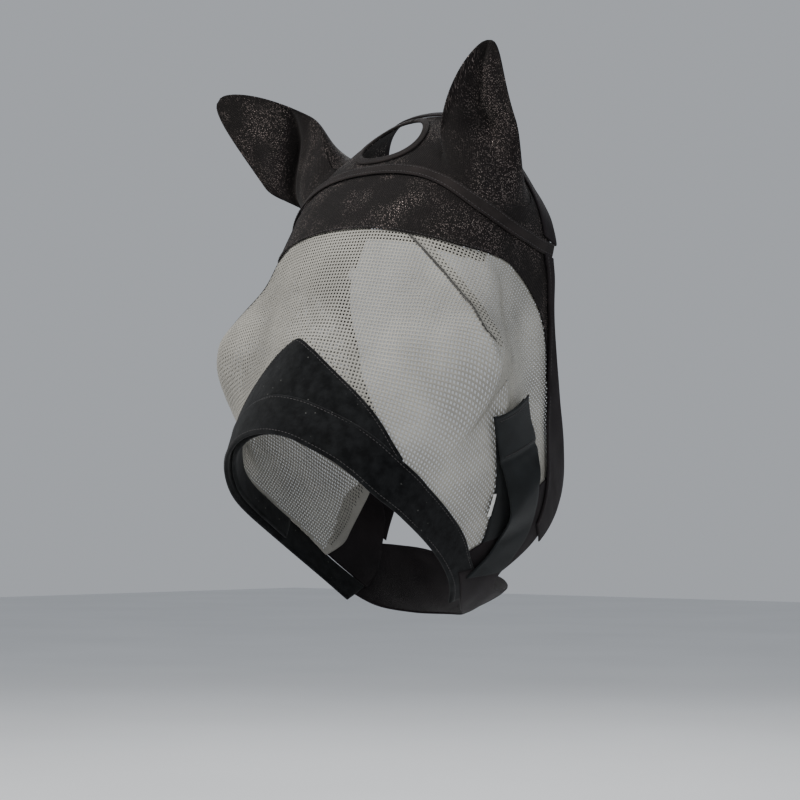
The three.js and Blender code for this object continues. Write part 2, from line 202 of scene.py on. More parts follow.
LINING_LAYER = (-5.0, -0.6)
SEAM_TAPE_LAYER = (-4.4, -3.4)
DOUBLING_LIFT = -0.9
LOOP_LAYER = (1.4, 4.6)
THROAT_LAYER = (1.8, 3.4)
KNIT_LAYER = (2.0, 3.0)
PATCH_LAYER = (2.0, 5.0)
NOSE_BAND_LAYER = (2.0, 6.2)
LABEL_LAYER = (2.2, 2.8)
BINDING_LAYER = (3.2, 5.2)
POLL_BAND_LAYER = (3.4, 5.6)
EDGE_LAYER = (4.0, 6.4)
TAPE_LAYER = (4.4, 5.8)
HOOK_LAYER = (5.2, 8.2)
FLAP_LAYER = (5.2, 7.4)
STRAP_LAYER = (8.4, 10.6)
STITCH_LIFTS = {"brow_band": 3.15, "brow_tape": 5.9, "nose_patch": 5.0, "nose_band": 6.1,
                "edge_band": 6.3, "strap": 10.9}

# ---------------- edges of the panels

SEAM_LAP = 5
BROW_SEAM = [[0, 0], [30, 3], [45, 3], [60, 1], [76, -7], [89, -13]]
MESH_REAR = [[89, -13], [98, -8], [105, 0], [110, 18], [113, 43], [118, 77], [121, 102],
             [123, 125], [123, 150], [122, 180], [121, 200], [117, 220]]
PATCH_EDGE = [[0, 122], [12, 131], [22, 143], [34, 159], [48, 178], [60, 193], [70, 202]]
NOSE_SIDE_EDGE = [[70, 202], [90, 206], [98, 209], [107, 212], [117, 220]]
NOSE_BAND_TOP = [[0, 181], [16, 183], [30, 188], [44, 193], [57, 198], [70, 203], [90, 207],
                 [107, 213], [117, 221], [127, 226], [137, 231]]
NOSE_BAND_FOOT = [[0, 220], [16, 222], [30, 227], [44, 231], [55, 235], [70, 240], [88, 241],
                  [104, 243], [121, 248], [137, 256]]
TAPE_FOOT = [[0, -58], [20, -55], [34, -49], [54, -36], [66, -32], [78, -32], [89, -37], [98, -50]]
TAPE_TOP = [[0, -70], [20, -67], [34, -61], [54, -50], [66, -47], [78, -46], [89, -51],
            [97.5, -64]]
BROW_BAND_REAR = [[98, -49], [101.5, -33], [105, -14], [110, 10], [112, 40]]
BROW_BAND_FOOT_END = [[89, -9], [97, -4], [103, 6], [107, 22], [110, 46]]
EDGE_BAND_INNER = [[95.5, -44.5], [98, -35], [102, -14], [106, 12], [109, 43], [112, 75],
                   [115.5, 100], [119, 120], [122.5, 140], [126, 158]]
EDGE_BAND_OUTER = [[98.8, -48], [101.6, -35], [105, -14], [109.5, 11], [117.5, 48], [125.5, 75],
                   [131, 98], [133, 126], [134, 145], [135, 162]]
POLL_SIDE = [[95.5, -66], [93.5, -78], [91.5, -92], [87.5, -108], [81.5, -122], [72.5, -134],
             [60, -143], [40, -150], [20, -154], [0, -155]]
POLL_BAND_OUTER = [[98.5, -67.5], [96.6, -79], [94.5, -93.5], [90, -111], [84, -126],
                   [74.5, -139], [61, -149], [40, -157], [20, -161], [0, -162]]
THROAT_FRONT = [[121, 117], [118, 133], [117, 150], [117, 180], [116.5, 200], [115.5, 220]]
THROAT_REAR = [[121, 117], [127, 126], [131, 140], [133, 158], [134.5, 176]]
THROAT_INNER_END = [[134.5, 176], [137, 206], [138, 232]]
THROAT_FOOT = [[115.5, 220], [127, 226], [138, 232]]
DART_SEAM = [[28, 4], [49, 31], [58, 48], [64, 67], [67, 84], [72, 94]]
DART_TAPE_EDGE = [[37, 4], [57, 30], [66, 46], [72, 64], [76, 80], [78, 92]]
STRAP_FRONT = [[90.5, 135], [92.5, 141], [95, 147], [98, 153], [102, 160], [106.5, 170],
               [111.5, 181], [117, 196], [120.5, 213], [123, 236]]
STRAP_REAR = [[97, 92], [100.5, 104], [104.5, 109], [107.5, 117], [108.5, 131], [111, 144],
              [116, 153], [122, 165], [127, 184], [132, 206]]
STRAP_STUCK, STRAP_BULGE, STRAP_BULGE_END = 0.2, 9, 0.66
STRAP_CREASE_DEPTH, STRAP_CREASE_WIDTH = 1.6, 0.014
STRAP_END_RISE = 0.9
STRAP_STITCHES = {"end": 0.022, "crease": 0.175}      # shares of the way down the strap
STRAP_BEND, FLAP_BEND = (0.99, 0.90), (0.995, 0.92)   # where each starts and ends its bend
HOOK_MARGIN, HOOK_SIDE = 0.012, 0.05                  # hook tape, in from the strap's end and sides
LOOP_FRONT = [[91.5, 133], [95, 143], [98, 152], [101, 160], [105, 172], [109, 185], [113.5, 198],
              [116, 206]]
LOOP_REAR = [[99, 94], [103, 105], [106.5, 110], [109.5, 119], [111.5, 131], [114, 144],
             [118, 155], [123, 170]]
FLAP_FRONT = [[119, 238], [134, 246], [148, 246], [164, 236], [180, 230], [196, 236], [212, 244],
              [229, 242]]
FLAP_REAR = [[131, 196], [137, 211], [146, 212], [158, 196], [170, 176], [180, 163], [195, 152],
             [210, 150], [221, 160], [230, 174]]
LABEL_FRONT, LABEL_REAR = [[103, 176], [107, 192]], [[108, 168], [112, 184]]
FORELOCK = {"around": 0, "along": -112, "reach_around": 15, "reach_along": 32}
EAR_AROUND, EAR_ALONG, EAR_REACH_AROUND, EAR_REACH_ALONG = 59.5, -88, 26.5, 33
EARS = {
    "left": {"side": 1, "tip": (27, -34, 115), "facing": (0.5, -0.86, 0), "half_width": 45,
             "bow": (-7, -9, 0)},
    "right": {"side": -1, "tip": (-108, -52, 102), "facing": (0.25, -0.95, -0.2),
              "half_width": 58, "bow": (3, 0, 5)},
}

# ---------------- the head form's surface


def at_station(values, along):
    place = (np.asarray(along, float) - FIRST_STATION) / STATION_STEP
    index = np.clip(np.floor(place).astype(int), 0, len(values) - 2)
    share = place - index
    padded = np.array([2 * values[0] - values[1], *values, 2 * values[-1] - values[-2]], float)
    before, here, after, beyond = (padded[index + k] for k in range(4))
    bend = 2 * before - 5 * here + 4 * after - beyond
    twist = 3 * here - before - 3 * after + beyond
    return here + 0.5 * share * (after - before + share * (bend + share * twist))


def skin(around, along):
    turn = np.where(around > 180, around - 360, around)
    angle = np.radians(np.abs(turn))
    in_front = angle < math.pi / 2
    widest = at_station(WIDEST_DEPTH, along)
    power = 2 / np.where(in_front, at_station(FACE_ROUNDNESS, along), JAW_ROUNDNESS)
    reach = np.where(in_front, at_station(FOREHEAD_DEPTH, along), at_station(JAW_DEPTH, along))
    across = at_station(HALF_WIDTH, along) * np.clip(np.sin(angle), 0, 1) ** power
    behind = (reach - widest) * np.abs(np.cos(angle)) ** power
    cup = EYE_HEIGHT * np.exp(-((along - EYE_ALONG) / EYE_REACH_ALONG) ** 2
                              - ((np.abs(turn) - EYE_AROUND) / EYE_REACH_AROUND) ** 2)
    grow = 1 + cup / np.hypot(across, behind)
    depth = widest + behind * grow
    cos_tilt, sin_tilt = math.cos(HEAD_TILT), math.sin(HEAD_TILT)
    return np.stack([np.sign(turn) * across * grow, depth * cos_tilt - along * sin_tilt,
                     -depth * sin_tilt - along * cos_tilt], -1)


def unit(vectors):
    return vectors / np.maximum(np.linalg.norm(vectors, axis=-1, keepdims=True), 1e-9)


def head_points(around, along, lift=0.0):
    around, along, lift = np.broadcast_arrays(*(np.asarray(v, float) for v in (around, along, lift)))
    across_way = skin(around + NORMAL_STEP, along) - skin(around - NORMAL_STEP, along)
    down_way = skin(around, along + NORMAL_STEP) - skin(around, along - NORMAL_STEP)
    outward = unit(np.cross(down_way, across_way))
    return skin(around, along) + outward * lift[..., None]


# The distance round the head from the middle of the forehead, for cloth patterns and the weave.
GIRTH_ALONG = np.linspace(-240, 320, 113)
GIRTH_AROUND = np.linspace(0, 180, 361)
_ring = skin(GIRTH_AROUND[None, :], GIRTH_ALONG[:, None] + 0 * GIRTH_AROUND[None, :])
_steps = np.linalg.norm(np.diff(_ring, axis=1), axis=-1)
GIRTH = np.concatenate([np.zeros((len(GIRTH_ALONG), 1)), np.cumsum(_steps, axis=1)], axis=1)


def girth_at(around, along):
    turn = np.where(around > 180, around - 360, around)
    row = np.clip((along - GIRTH_ALONG[0]) / (GIRTH_ALONG[1] - GIRTH_ALONG[0]), 0, len(GIRTH_ALONG) - 1.001)
    column = np.clip(np.abs(turn) / (GIRTH_AROUND[1] - GIRTH_AROUND[0]), 0, len(GIRTH_AROUND) - 1.001)
    i, j = row.astype(int), column.astype(int)
    s, t = row - i, column - j
    upper = GIRTH[i, j] * (1 - t) + GIRTH[i, j + 1] * t
    lower = GIRTH[i + 1, j] * (1 - t) + GIRTH[i + 1, j + 1] * t
    return np.sign(turn) * (upper * (1 - s) + lower * s)


def around_at(girth, along):
    row = np.clip(round((along - GIRTH_ALONG[0]) / (GIRTH_ALONG[1] - GIRTH_ALONG[0]), 6), 0,
                  len(GIRTH_ALONG) - 1.001)
    i = int(row)
    ring = GIRTH[i] * (1 - row + i) + GIRTH[i + 1] * (row - i)
    return np.sign(girth) * np.interp(np.abs(girth), ring, GIRTH_AROUND)


# ---------------- outlines


def mirrored(points):
    return [[-around, along] for around, along in points]


def moved(points, by):
    return [[around, along + by] for around, along in points]


def both_sides(points):
    return mirrored(points)[::-1] + list(points[1:])


def on_side(points, side):
    return mirrored(points) if side < 0 else list(points)


def edge(points, per_span=24):
    """A smooth line through the points, as a function of the share of its length."""
    p = np.array(points, float)
    p = np.vstack([p[0], p, p[-1]])
    t = np.linspace(0, 1, per_span, endpoint=False)[:, None]
    line = []
    for a, b, c, d in zip(p, p[1:], p[2:], p[3:]):
        line.append(b + 0.5 * t * (c - a + t * (2 * a - 5 * b + 4 * c - d + t * (3 * b - a - 3 * c + d))))
    line = np.vstack([*line, p[-1][None]])
    run = np.concatenate([[0], np.cumsum(np.linalg.norm(np.diff(line, axis=0), axis=1))])
    run /= run[-1]
    return lambda share: np.stack([np.interp(share, run, line[:, k]) for k in (0, 1)], -1)


def ruled(first, second):
    top, foot = edge(first), edge(second)
    return lambda u, v: top(u) * (1 - v[..., None]) + foot(u) * v[..., None]


def bordered(top, foot, start, finish):
    top, foot, start, finish = (edge(points) for points in (top, foot, start, finish))

    def area(u, v):
        u1, v1 = u[..., None], v[..., None]
        down = top(u) * (1 - v1) + foot(u) * v1
        across = start(v) * (1 - u1) + finish(v) * u1
        upper = top(0.0) * (1 - u1) + top(1.0) * u1
        lower = foot(0.0) * (1 - u1) + foot(1.0) * u1
        return down + across - upper * (1 - v1) - lower * v1
    return area


def smooth(value, low, high):
    t = np.clip((value - low) / (high - low), 0, 1)
    return t * t * (3 - 2 * t)


def wobble(x, y, seed, size):
    """Slow unevenness of cloth, from -1 to 1. x, y and size are in millimetres."""
    total = 0
    for k in range(5):
        turn = seed * 1.7 + k * 2.39
        wave = 2 * math.pi / (size * (0.7 + 0.33 * k))
        total = total + np.sin(wave * (x * math.cos(turn) + y * math.sin(turn)) + seed + 1.3 * k)
    return total / 3.2


# ---------------- meshes


def closed_layer(outer, inner, quads):
    """One closed body from an outer and an inner face that share their quads."""
    count = len(outer)
    edges = np.vstack([quads[:, [k, (k + 1) % 4]] for k in range(4)])
    key = np.sort(edges, axis=1)
    _, first, times = np.unique(key, axis=0, return_index=True, return_counts=True)
    rim = edges[first[times == 1]]
    walls = np.stack([rim[:, 1], rim[:, 0], rim[:, 0] + count, rim[:, 1] + count], -1)
    faces = np.vstack([quads, quads[:, ::-1] + count, walls])
    return np.vstack([outer, inner]), faces


def add_mesh(name, points, faces, material, cloth=None, smooth=True):
    """points are in millimetres; cloth gives each point's place on the flat cloth."""
    data = bpy.data.meshes.new(name)
    data.from_pydata((np.asarray(points) * MM).tolist(), [], [list(map(int, f)) for f in faces])
    data.update()
    data.materials.append(material)
    if cloth is not None:
        place = np.zeros((len(points), 3), np.float32)
        place[:, :2] = np.asarray(cloth) * MM
        data.attributes.new("cloth", "FLOAT_VECTOR", "POINT").data.foreach_set("vector", place.ravel())
    data.polygons.foreach_set("use_smooth", [smooth] * len(data.polygons))
    piece = bpy.data.objects.new(name, data)
    bpy.context.scene.collection.objects.link(piece)
    return piece


def grid_quads(columns, rows):
    i, j = np.meshgrid(np.arange(columns), np.arange(rows))
    a = (j * (columns + 1) + i).ravel()
    return np.stack([a, a + 1, a + columns + 2, a + columns + 1], -1)


def spaced(count, width, rim):
    """Shares from 0 to 1, closer together within rim of the two ends."""
    near = np.array([0, 0.08, 0.3, 0.65, 1]) * rim / width
    inside = np.linspace(near[-1], 1 - near[-1], max(count, 2))
    return np.concatenate([near[:-1], inside, 1 - near[:-1][::-1]])


EDGE_ROUND = 1.6                     # how far a panel's edge rounds off, in half thicknesses
EDGE_LEFT = 0.12                     # share of the thickness left at the very edge


def cloth_panel(name, area, lifts, size, step, material, relief=None, ovals=()):
    """A panel of cloth on the head form. size is its rough (width, height), step the grid's."""
    inner, outer = lifts
    half = (outer - inner) / 2
    rim = EDGE_ROUND * half
    u = spaced(int(size[0] / step), size[0], rim)
    v = spaced(int(size[1] / step), size[1], rim)
    uu, vv = np.meshgrid(u, v)
    place = area(uu, vv)
    around, along = place[..., 0].ravel(), place[..., 1].ravel()
    quads = grid_quads(len(u) - 1, len(v) - 1)
    from_edge = np.minimum(np.minimum(uu, 1 - uu) * size[0], np.minimum(vv, 1 - vv) * size[1]).ravel()
    for oval in ovals:
        x = (around - oval["around"]) / oval["reach_around"]
        y = (along - oval["along"]) / oval["reach_along"]
        radius = np.hypot(x, y)
        inside = radius < 1
        keep = ~inside[quads].all(axis=1)
        quads = quads[keep]
        ring = np.zeros(len(around), bool)
        ring[quads.ravel()] = True
        snap = inside & ring
        around[snap] = oval["around"] + x[snap] / radius[snap] * oval["reach_around"]
        along[snap] = oval["along"] + y[snap] / radius[snap] * oval["reach_along"]
    middle = (inner + outer) / 2
    if relief is not None:
        middle = middle + relief(around, along, uu.ravel(), vv.ravel())
    thin = np.sqrt(1 - (1 - np.clip(from_edge / rim, 0, 1)) ** 2)
    thick = half * (EDGE_LEFT + (1 - EDGE_LEFT) * thin)
    used, quads = np.unique(quads, return_inverse=True)
    quads = quads.reshape(-1, 4)
    pick = lambda values: np.broadcast_to(values, around.shape)[used]
    over = head_points(around[used], along[used], pick(middle) + pick(thick))
    under = head_points(around[used], along[used], pick(middle) - pick(thick))
    flat = np.stack([girth_at(around[used], along[used]), along[used]], -1)
    points, faces = closed_layer(over, under, quads[:, ::-1])
    return add_mesh(name, points, faces, material, np.vstack([flat, flat]))


# ---------------- material nodes


class Nodes:
    """Short calls for building one material's node tree."""

    def __init__(self, name, roughness, **sockets):
        self.material = bpy.data.materials.new(name)
        self.material.use_nodes = True
        self.tree = self.material.node_tree
        self.shader = self.tree.nodes["Principled BSDF"]
        self.shader.inputs["Roughness"].default_value = roughness
        for socket, value in sockets.items():
            self.shader.inputs[socket.replace("_", " ")].default_value = value
        self.cloth = self.add("ShaderNodeAttribute", attribute_name="cloth").outputs["Vector"]
        self.object = self.add("ShaderNodeTexCoord").outputs["Object"]

    def add(self, kind, inputs=None, **settings):
        node = self.tree.nodes.new(kind)
        for key, value in settings.items():
            setattr(node, key, value)
        for key, value in (inputs or {}).items():
            if isinstance(value, bpy.types.NodeSocket):
                self.tree.links.new(value, node.inputs[key])
            else:
                node.inputs[key].default_value = value
        return node

    def math(self, operation, a, b=0.0, clamp=False):
        return self.add("ShaderNodeMath", {0: a, 1: b}, operation=operation, use_clamp=clamp).outputs[0]

    def noise(self, vector, scale, detail=2.0, roughness=0.5):
        inputs = {"Vector": vector, "Scale": scale, "Detail": detail, "Roughness": roughness}
        return self.add("ShaderNodeTexNoise", inputs).outputs["Fac"]

    def ramp(self, value, low, high, start=0.0, finish=1.0):
        inputs = {"Value": value, "From Min": low, "From Max": high, "To Min": start, "To Max": finish}
        return self.add("ShaderNodeMapRange", inputs).outputs["Result"]

    def mix(self, share, first, second):
        inputs = {"Factor": share, 6: first, 7: second}
        return self.add("ShaderNodeMix", inputs, data_type="RGBA").outputs[2]

    def waves(self, vector, x_period, y_period, x_share=1.0, y_share=1.0):
        """Ribs across x and y, each from -1 to 1, times their shares."""
        split = self.add("ShaderNodeSeparateXYZ", {0: vector})
        parts = []
        for axis, period, share in ((0, x_period, x_share), (1, y_period, y_share)):
            angle = self.math("MULTIPLY", split.outputs[axis], 2 * math.pi / (period * MM))
            parts.append(self.math("MULTIPLY", self.math("SINE", angle), share))
        return parts

    def turned(self, vector, degrees):
        inputs = {"Vector": vector, "Rotation": (0, 0, math.radians(degrees))}
        return self.add("ShaderNodeMapping", inputs).outputs["Vector"]

    def finish(self, colour, height=None, distance=0.3, strength=0.6):
        self.tree.links.new(colour, self.shader.inputs["Base Color"])
        if height is not None:
            inputs = {"Height": height, "Distance": distance * MM, "Strength": strength}
            bump = self.add("ShaderNodeBump", inputs)
            self.tree.links.new(bump.outputs["Normal"], self.shader.inputs["Normal"])
        return self.material


def woven_mesh_material(name, light, shade):
    n = Nodes(name, 0.5, Specular_IOR_Level=0.35)
    broad = n.ramp(n.noise(n.object, 16, 3), 0.35, 0.65)
    fine = n.ramp(n.noise(n.cloth, 900, 2), 0.3, 0.7)
    tint = n.mix(broad, shade, light)
    dull = n.mix(n.math("MULTIPLY", fine, 0.28), tint, (*[c * 0.62 for c in shade[:3]], 1))
    return n.finish(dull, n.noise(n.cloth, 2600, 2), distance=0.12, strength=0.5)


def sparkle_knit_material():
    n = Nodes("sparkle_knit", 0.8, Sheen_Weight=0.03, Sheen_Roughness=0.5, Specular_IOR_Level=0.12)
    rib, course = n.waves(n.cloth, 2.1, 1.6)
    stitch = n.math("MULTIPLY", rib, course)
    loops = n.math("ADD", n.math("MULTIPLY", rib, 0.6), n.math("MULTIPLY", stitch, 0.6))
    cells = n.add("ShaderNodeTexVoronoi", {"Vector": n.cloth, "Scale": 900.0, "Randomness": 0.5})
    chance = n.add("ShaderNodeSeparateColor", {0: cells.outputs["Color"]}).outputs[0]
    close = n.ramp(cells.outputs["Distance"], 0.42, 0.24)
    picked = n.ramp(chance, 0.35, 0.9, 0.02, 1.0)
    fleck = n.math("MULTIPLY", close, picked, clamp=True)
    patchy = n.ramp(n.noise(n.object, 30, 3), 0.42, 0.66, 0.06, 1.0)
    fleck = n.math("MULTIPLY", fleck, patchy, clamp=True)
    ground = n.mix(n.ramp(stitch, -1, 1), (0.0022, 0.0017, 0.0016, 1), (0.0085, 0.0065, 0.006, 1))
    colour = n.mix(fleck, ground, (0.30, 0.245, 0.225, 1))
    n.tree.links.new(n.ramp(fleck, 0, 1, 0.8, 0.34), n.shader.inputs["Roughness"])
    n.tree.links.new(n.math("MULTIPLY", fleck, 0.7), n.shader.inputs["Metallic"])
    return n.finish(colour, loops, distance=0.22, strength=0.7)


def soft_band_material():
    n = Nodes("soft_band", 0.85, Sheen_Weight=0.05, Sheen_Roughness=0.4, Specular_IOR_Level=0.12)
    rib, cross = n.waves(n.turned(n.cloth, 45), 0.9, 0.9)
    cloth = n.math("ADD", rib, cross)
    broad = n.ramp(n.noise(n.object, 24, 3), 0.3, 0.7)
    tone = n.mix(broad, (0.0058, 0.0043, 0.0048, 1), (0.0125, 0.0096, 0.0104, 1))
    colour = n.mix(n.ramp(n.noise(n.cloth, 700, 2), 0.62, 0.75, 0, 0.3), tone, (0.05, 0.042, 0.042, 1))
    return n.finish(colour, cloth, distance=0.08, strength=0.5)


def fleece_material():
    n = Nodes("fleece", 0.95, Sheen_Weight=0.07, Sheen_Roughness=0.5, Specular_IOR_Level=0.06)
    pile = n.noise(n.object, 520, 4, 0.7)
    tufts = n.noise(n.object, 110, 3, 0.6)
    height = n.math("ADD", n.math("MULTIPLY", pile, 0.5), n.math("MULTIPLY", tufts, 0.7))
    tone = n.mix(n.ramp(tufts, 0.35, 0.68), (0.0026, 0.0028, 0.003, 1), (0.0085, 0.0090, 0.0094, 1))
    lint = n.add("ShaderNodeTexVoronoi", {"Vector": n.object, "Scale": 260.0})
    chance = n.add("ShaderNodeSeparateColor", {0: lint.outputs["Color"]}).outputs[0]
    speck = n.math("MULTIPLY", n.ramp(lint.outputs["Distance"], 0.22, 0.12), n.ramp(chance, 0.93, 0.95))
    colour = n.mix(n.math("MULTIPLY", speck, 0.5, clamp=True), tone, (0.12, 0.12, 0.11, 1))
    return n.finish(colour, height, distance=0.5, strength=0.8)


def tape_material(name, dark, light, rib_mm, turn=0.0, sheen=0.05):
    n = Nodes(name, 0.82, Sheen_Weight=sheen, Sheen_Roughness=0.4, Specular_IOR_Level=0.15)
    rib, cross = n.waves(n.turned(n.cloth, turn), rib_mm, rib_mm * 0.8)
    weave = n.math("ADD", rib, n.math("MULTIPLY", cross, 0.6))
    worn = n.ramp(n.noise(n.object, 60, 3), 0.4, 0.7)
    tone = n.mix(n.ramp(weave, -1.4, 1.4), dark, light)
    colour = n.mix(n.math("MULTIPLY", worn, 0.35), tone, (*[c * 1.9 for c in light[:3]], 1))
    return n.finish(colour, weave, distance=0.1, strength=0.6)


def loop_pile_material():
    n = Nodes("loop_pile", 0.95, Sheen_Weight=0.06, Sheen_Roughness=0.6, Specular_IOR_Level=0.08)
    pile = n.noise(n.cloth, 1500, 3, 0.7)
    colour = n.mix(n.ramp(pile, 0.35, 0.65), (0.002, 0.0022, 0.0024, 1), (0.012, 0.0135, 0.0142, 1))
    return n.finish(colour, pile, distance=0.6, strength=0.9)


def label_material():
    n = Nodes("satin_label", 0.45, Sheen_Weight=0.2)
    rib, cross = n.waves(n.cloth, 0.5, 0.5)
    slow = n.ramp(n.noise(n.object, 300, 2), 0.3, 0.7)
    colour = n.mix(slow, (0.62, 0.61, 0.58, 1), (0.78, 0.77, 0.74, 1))
    return n.finish(colour, n.math("ADD", rib, cross), distance=0.05, strength=0.4)


def thread_and_painted_shadow_material(name, dark, light):
    n = Nodes(name, 0.6, Specular_IOR_Level=0.4)
    colour = n.mix(n.ramp(n.noise(n.object, 1200, 2), 0.35, 0.65), dark, light)
    return n.finish(colour, n.noise(n.object, 3000, 2), distance=0.1, strength=0.5)


WEAVE = woven_mesh_material("woven_mesh", (0.31, 0.297, 0.262, 1), (0.215, 0.206, 0.182, 1))
# The same mesh cloth, painted lighter: painted light for the brighter look of the doubled strip.
WEAVE_PAINTED_LIGHTER = woven_mesh_material("woven_mesh_doubled", (0.43, 0.415, 0.38, 1), (0.33, 0.32, 0.29, 1))
KNIT = sparkle_knit_material()
SOFT = soft_band_material()
FLEECE = fleece_material()
TAPE = tape_material("binding_tape", (0.006, 0.0044, 0.0041, 1), (0.014, 0.0108, 0.0101, 1), 0.8, 35)
WEBBING = tape_material("stretch_webbing", (0.0026, 0.003, 0.0032, 1), (0.0075, 0.0088, 0.0093, 1),
                        1.1, 0, 0.08)
LOOPS = loop_pile_material()
LABEL = label_material()
BLACK_THREAD = thread_and_painted_shadow_material("black_thread", (0.010, 0.009, 0.009, 1), (0.035, 0.03, 0.03, 1))
GREY_THREAD = thread_and_painted_shadow_material("grey_thread", (0.10, 0.10, 0.09, 1), (0.22, 0.21, 0.19, 1))
# The dart fold's tube is near-black: a painted shadow line along the fold.
DART_PAINTED_SHADOW = thread_and_painted_shadow_material("dark_grey_thread", (0.014, 0.013, 0.012, 1), (0.04, 0.038, 0.034, 1))

# ---------------- fixing pieces to the part


def fit(piece, slot, *nodes, body="hood"):
    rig.ride(piece, body)
    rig.replaces(piece, *nodes)
    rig.slot(piece, slot)
    return piece


def stitches(name, points, lift, slot, material, body="hood", pitch=3.6, length=2.7, thickness=0.42):
    """A row of stitches along a line on the head form."""
    line = edge(points)(np.linspace(0, 1, 600))
    path = head_points(line[:, 0], line[:, 1], lift)
    return stitch_row(name, path, slot, material, body, pitch, length, thickness)


def stitch_row(name, path, slot, material, body, pitch, length, thickness):
    run = np.concatenate([[0], np.cumsum(np.linalg.norm(np.diff(path, axis=0), axis=1))])
    starts = np.arange(0.5 * pitch, run[-1] - length, pitch)
    shape = [(0.0, 0.25), (0.2, 0.9), (0.5, 1.0), (0.8, 0.9), (1.0, 0.25)]
    sides = 6
    points, faces = [], []
    for start in starts:
        centre = np.array([[np.interp(start + share * length, run, path[:, k]) for k in range(3)]
                           for share, _ in shape])
        way = unit(centre[-1] - centre[0])
        side = unit(np.cross(way, [0.3, 0.2, 0.93]))
        up = np.cross(side, way)
        base = len(points)
        for middle, (_, width) in zip(centre, shape):
            for k in range(sides):
                turn = 2 * math.pi * k / sides
                points.append(middle + width * thickness * (math.cos(turn) * side + math.sin(turn) * up))
        for ring in range(len(shape) - 1):
            for k in range(sides):
                a, b = base + ring * sides + k, base + ring * sides + (k + 1) % sides
                faces.append([a, b, b + sides, a + sides])
        faces.append([base + k for k in range(sides)][::-1])
        faces.append([base + (len(shape) - 1) * sides + k for k in range(sides)])
    piece = add_mesh(name, points, faces, material)
    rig.ride(piece, body)
    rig.slot(piece, slot)
    return piece


def cord_on(name, path, radius, material, body, slot, sides=10):
    """A rolled edge: a tube along a path of points in millimetres, closed at both ends."""
    way = unit(np.gradient(path, axis=0))
    side = unit(np.cross(way, [0.21, 0.13, 0.97]))
    up = np.cross(side, way)
    turn = 2 * np.pi * np.arange(sides) / sides
    rings = path[:, None] + radius[:, None, None] * (np.cos(turn)[None, :, None] * side[:, None]
                                                   + np.sin(turn)[None, :, None] * up[:, None])
    faces = []
    for i in range(len(path) - 1):
        for k in range(sides):
            a, b = i * sides + k, i * sides + (k + 1) % sides
            faces.append([a, b, b + sides, a + sides])
    last = (len(path) - 1) * sides
    faces.append(list(range(sides))[::-1])
    faces.append([last + k for k in range(sides)])
    run = np.concatenate([[0], np.cumsum(np.linalg.norm(np.diff(path, axis=0), axis=1))])
    cloth = np.stack([np.repeat(run, sides), np.tile(turn, len(path))], -1)
    piece = add_mesh(name, rings.reshape(-1, 3), faces, material, cloth)
    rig.ride(piece, body)
    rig.slot(piece, slot)
    return piece


# ---------------- the open mesh

MESH_PITCH = 3.4
STRAND_SHARE = 0.47                  # strand width as a share of the pitch
MESH_LIFT, MESH_THICKNESS = 0.5, 0.9
CROSSING_RISE = 0.16                 # one strand over, the next under
HEM_SHARE = 0.4                      # size of the filled square in a border cell, as a share of a hole's
STRAND_FALL = 0.2                    # how far a strand rounds off at its edges
MESH_RELIEF_FADE = 26                # from the panel's edge to where its folds are full
DART_RISE, DART_FADE, DART_SLANT = 3.0, 9.0, 0.7
DART_CORD_LIFT, DART_CORD_THIN, DART_CORD_SWELL = 1.25, 0.35, 0.75
DART_STITCH_AWAY = 1.3               # degrees from the cord to the stitches beside it
FACE_FOLDS = [                       # each fold's line, its height and its width
    ([[75, 4], [83, 40], [88, 85], [93, 125]], 5.0, 13),     # ridge behind the left eye
    ([[97, 20], [102, 60], [106, 95]], -3.0, 14),            # hollow behind that ridge
    ([[40, 40], [48, 62]], 3.5, 16),                         # brow bone
    ([[56, 88], [64, 108]], -4.0, 18),                       # eye socket
    ([[72, 96], [78, 130], [84, 165]], 2.2, 11),             # pull from the dart's end
    ([[-62, 20], [-70, 60], [-74, 90]], 2.0, 12),            # ridge on the right side
    ([[70, 88], [75, 98]], -3.2, 6),                         # tucks at the two darts' ends
    ([[-70, 88], [-75, 98]], -3.2, 6),
]


def inside_outline(x, y, outline):
    inside = np.zeros(x.shape, bool)
    for (x1, y1), (x2, y2) in zip(outline, np.roll(outline, -1, axis=0)):
        crosses = (y1 > y) != (y2 > y)
        with np.errstate(divide="ignore", invalid="ignore"):
            at = x1 + (y - y1) * (x2 - x1) / (y2 - y1)
        inside ^= crosses & (x < at)
    return inside


def distance_to(x, y, line):
    best = np.full(x.shape, 1e9)
    for (x1, y1), (x2, y2) in zip(line, line[1:]):
        dx, dy = x2 - x1, y2 - y1
        t = np.clip(((x - x1) * dx + (y - y1) * dy) / (dx * dx + dy * dy + 1e-9), 0, 1)
        best = np.minimum(best, np.hypot(x - x1 - t * dx, y - y1 - t * dy))
    return best


def in_cloth(points):
    """An outline's places in millimetres on the flat cloth."""
    line = edge(points)(np.linspace(0, 1, 60))
    return np.stack([girth_at(line[:, 0], line[:, 1]), line[:, 1]], -1)


def fold(x, y, line, height, width):
    return height * np.exp(-(distance_to(x, y, in_cloth(line)) / width) ** 2)


def nearest_on(x, y, loop):
    """The nearest points to (x, y) on a closed outline."""
    start, span = loop, np.roll(loop, -1, axis=0) - loop
    off = np.stack([x, y], -1)[:, None] - start[None]
    share = np.clip((off * span).sum(-1) / np.maximum((span ** 2).sum(-1), 1e-9), 0, 1)
    foot = start[None] + share[..., None] * span[None]
    gap = np.linalg.norm(foot - np.stack([x, y], -1)[:, None], axis=-1)
    best = foot[np.arange(len(x)), gap.argmin(1)]
    return best[:, 0], best[:, 1]


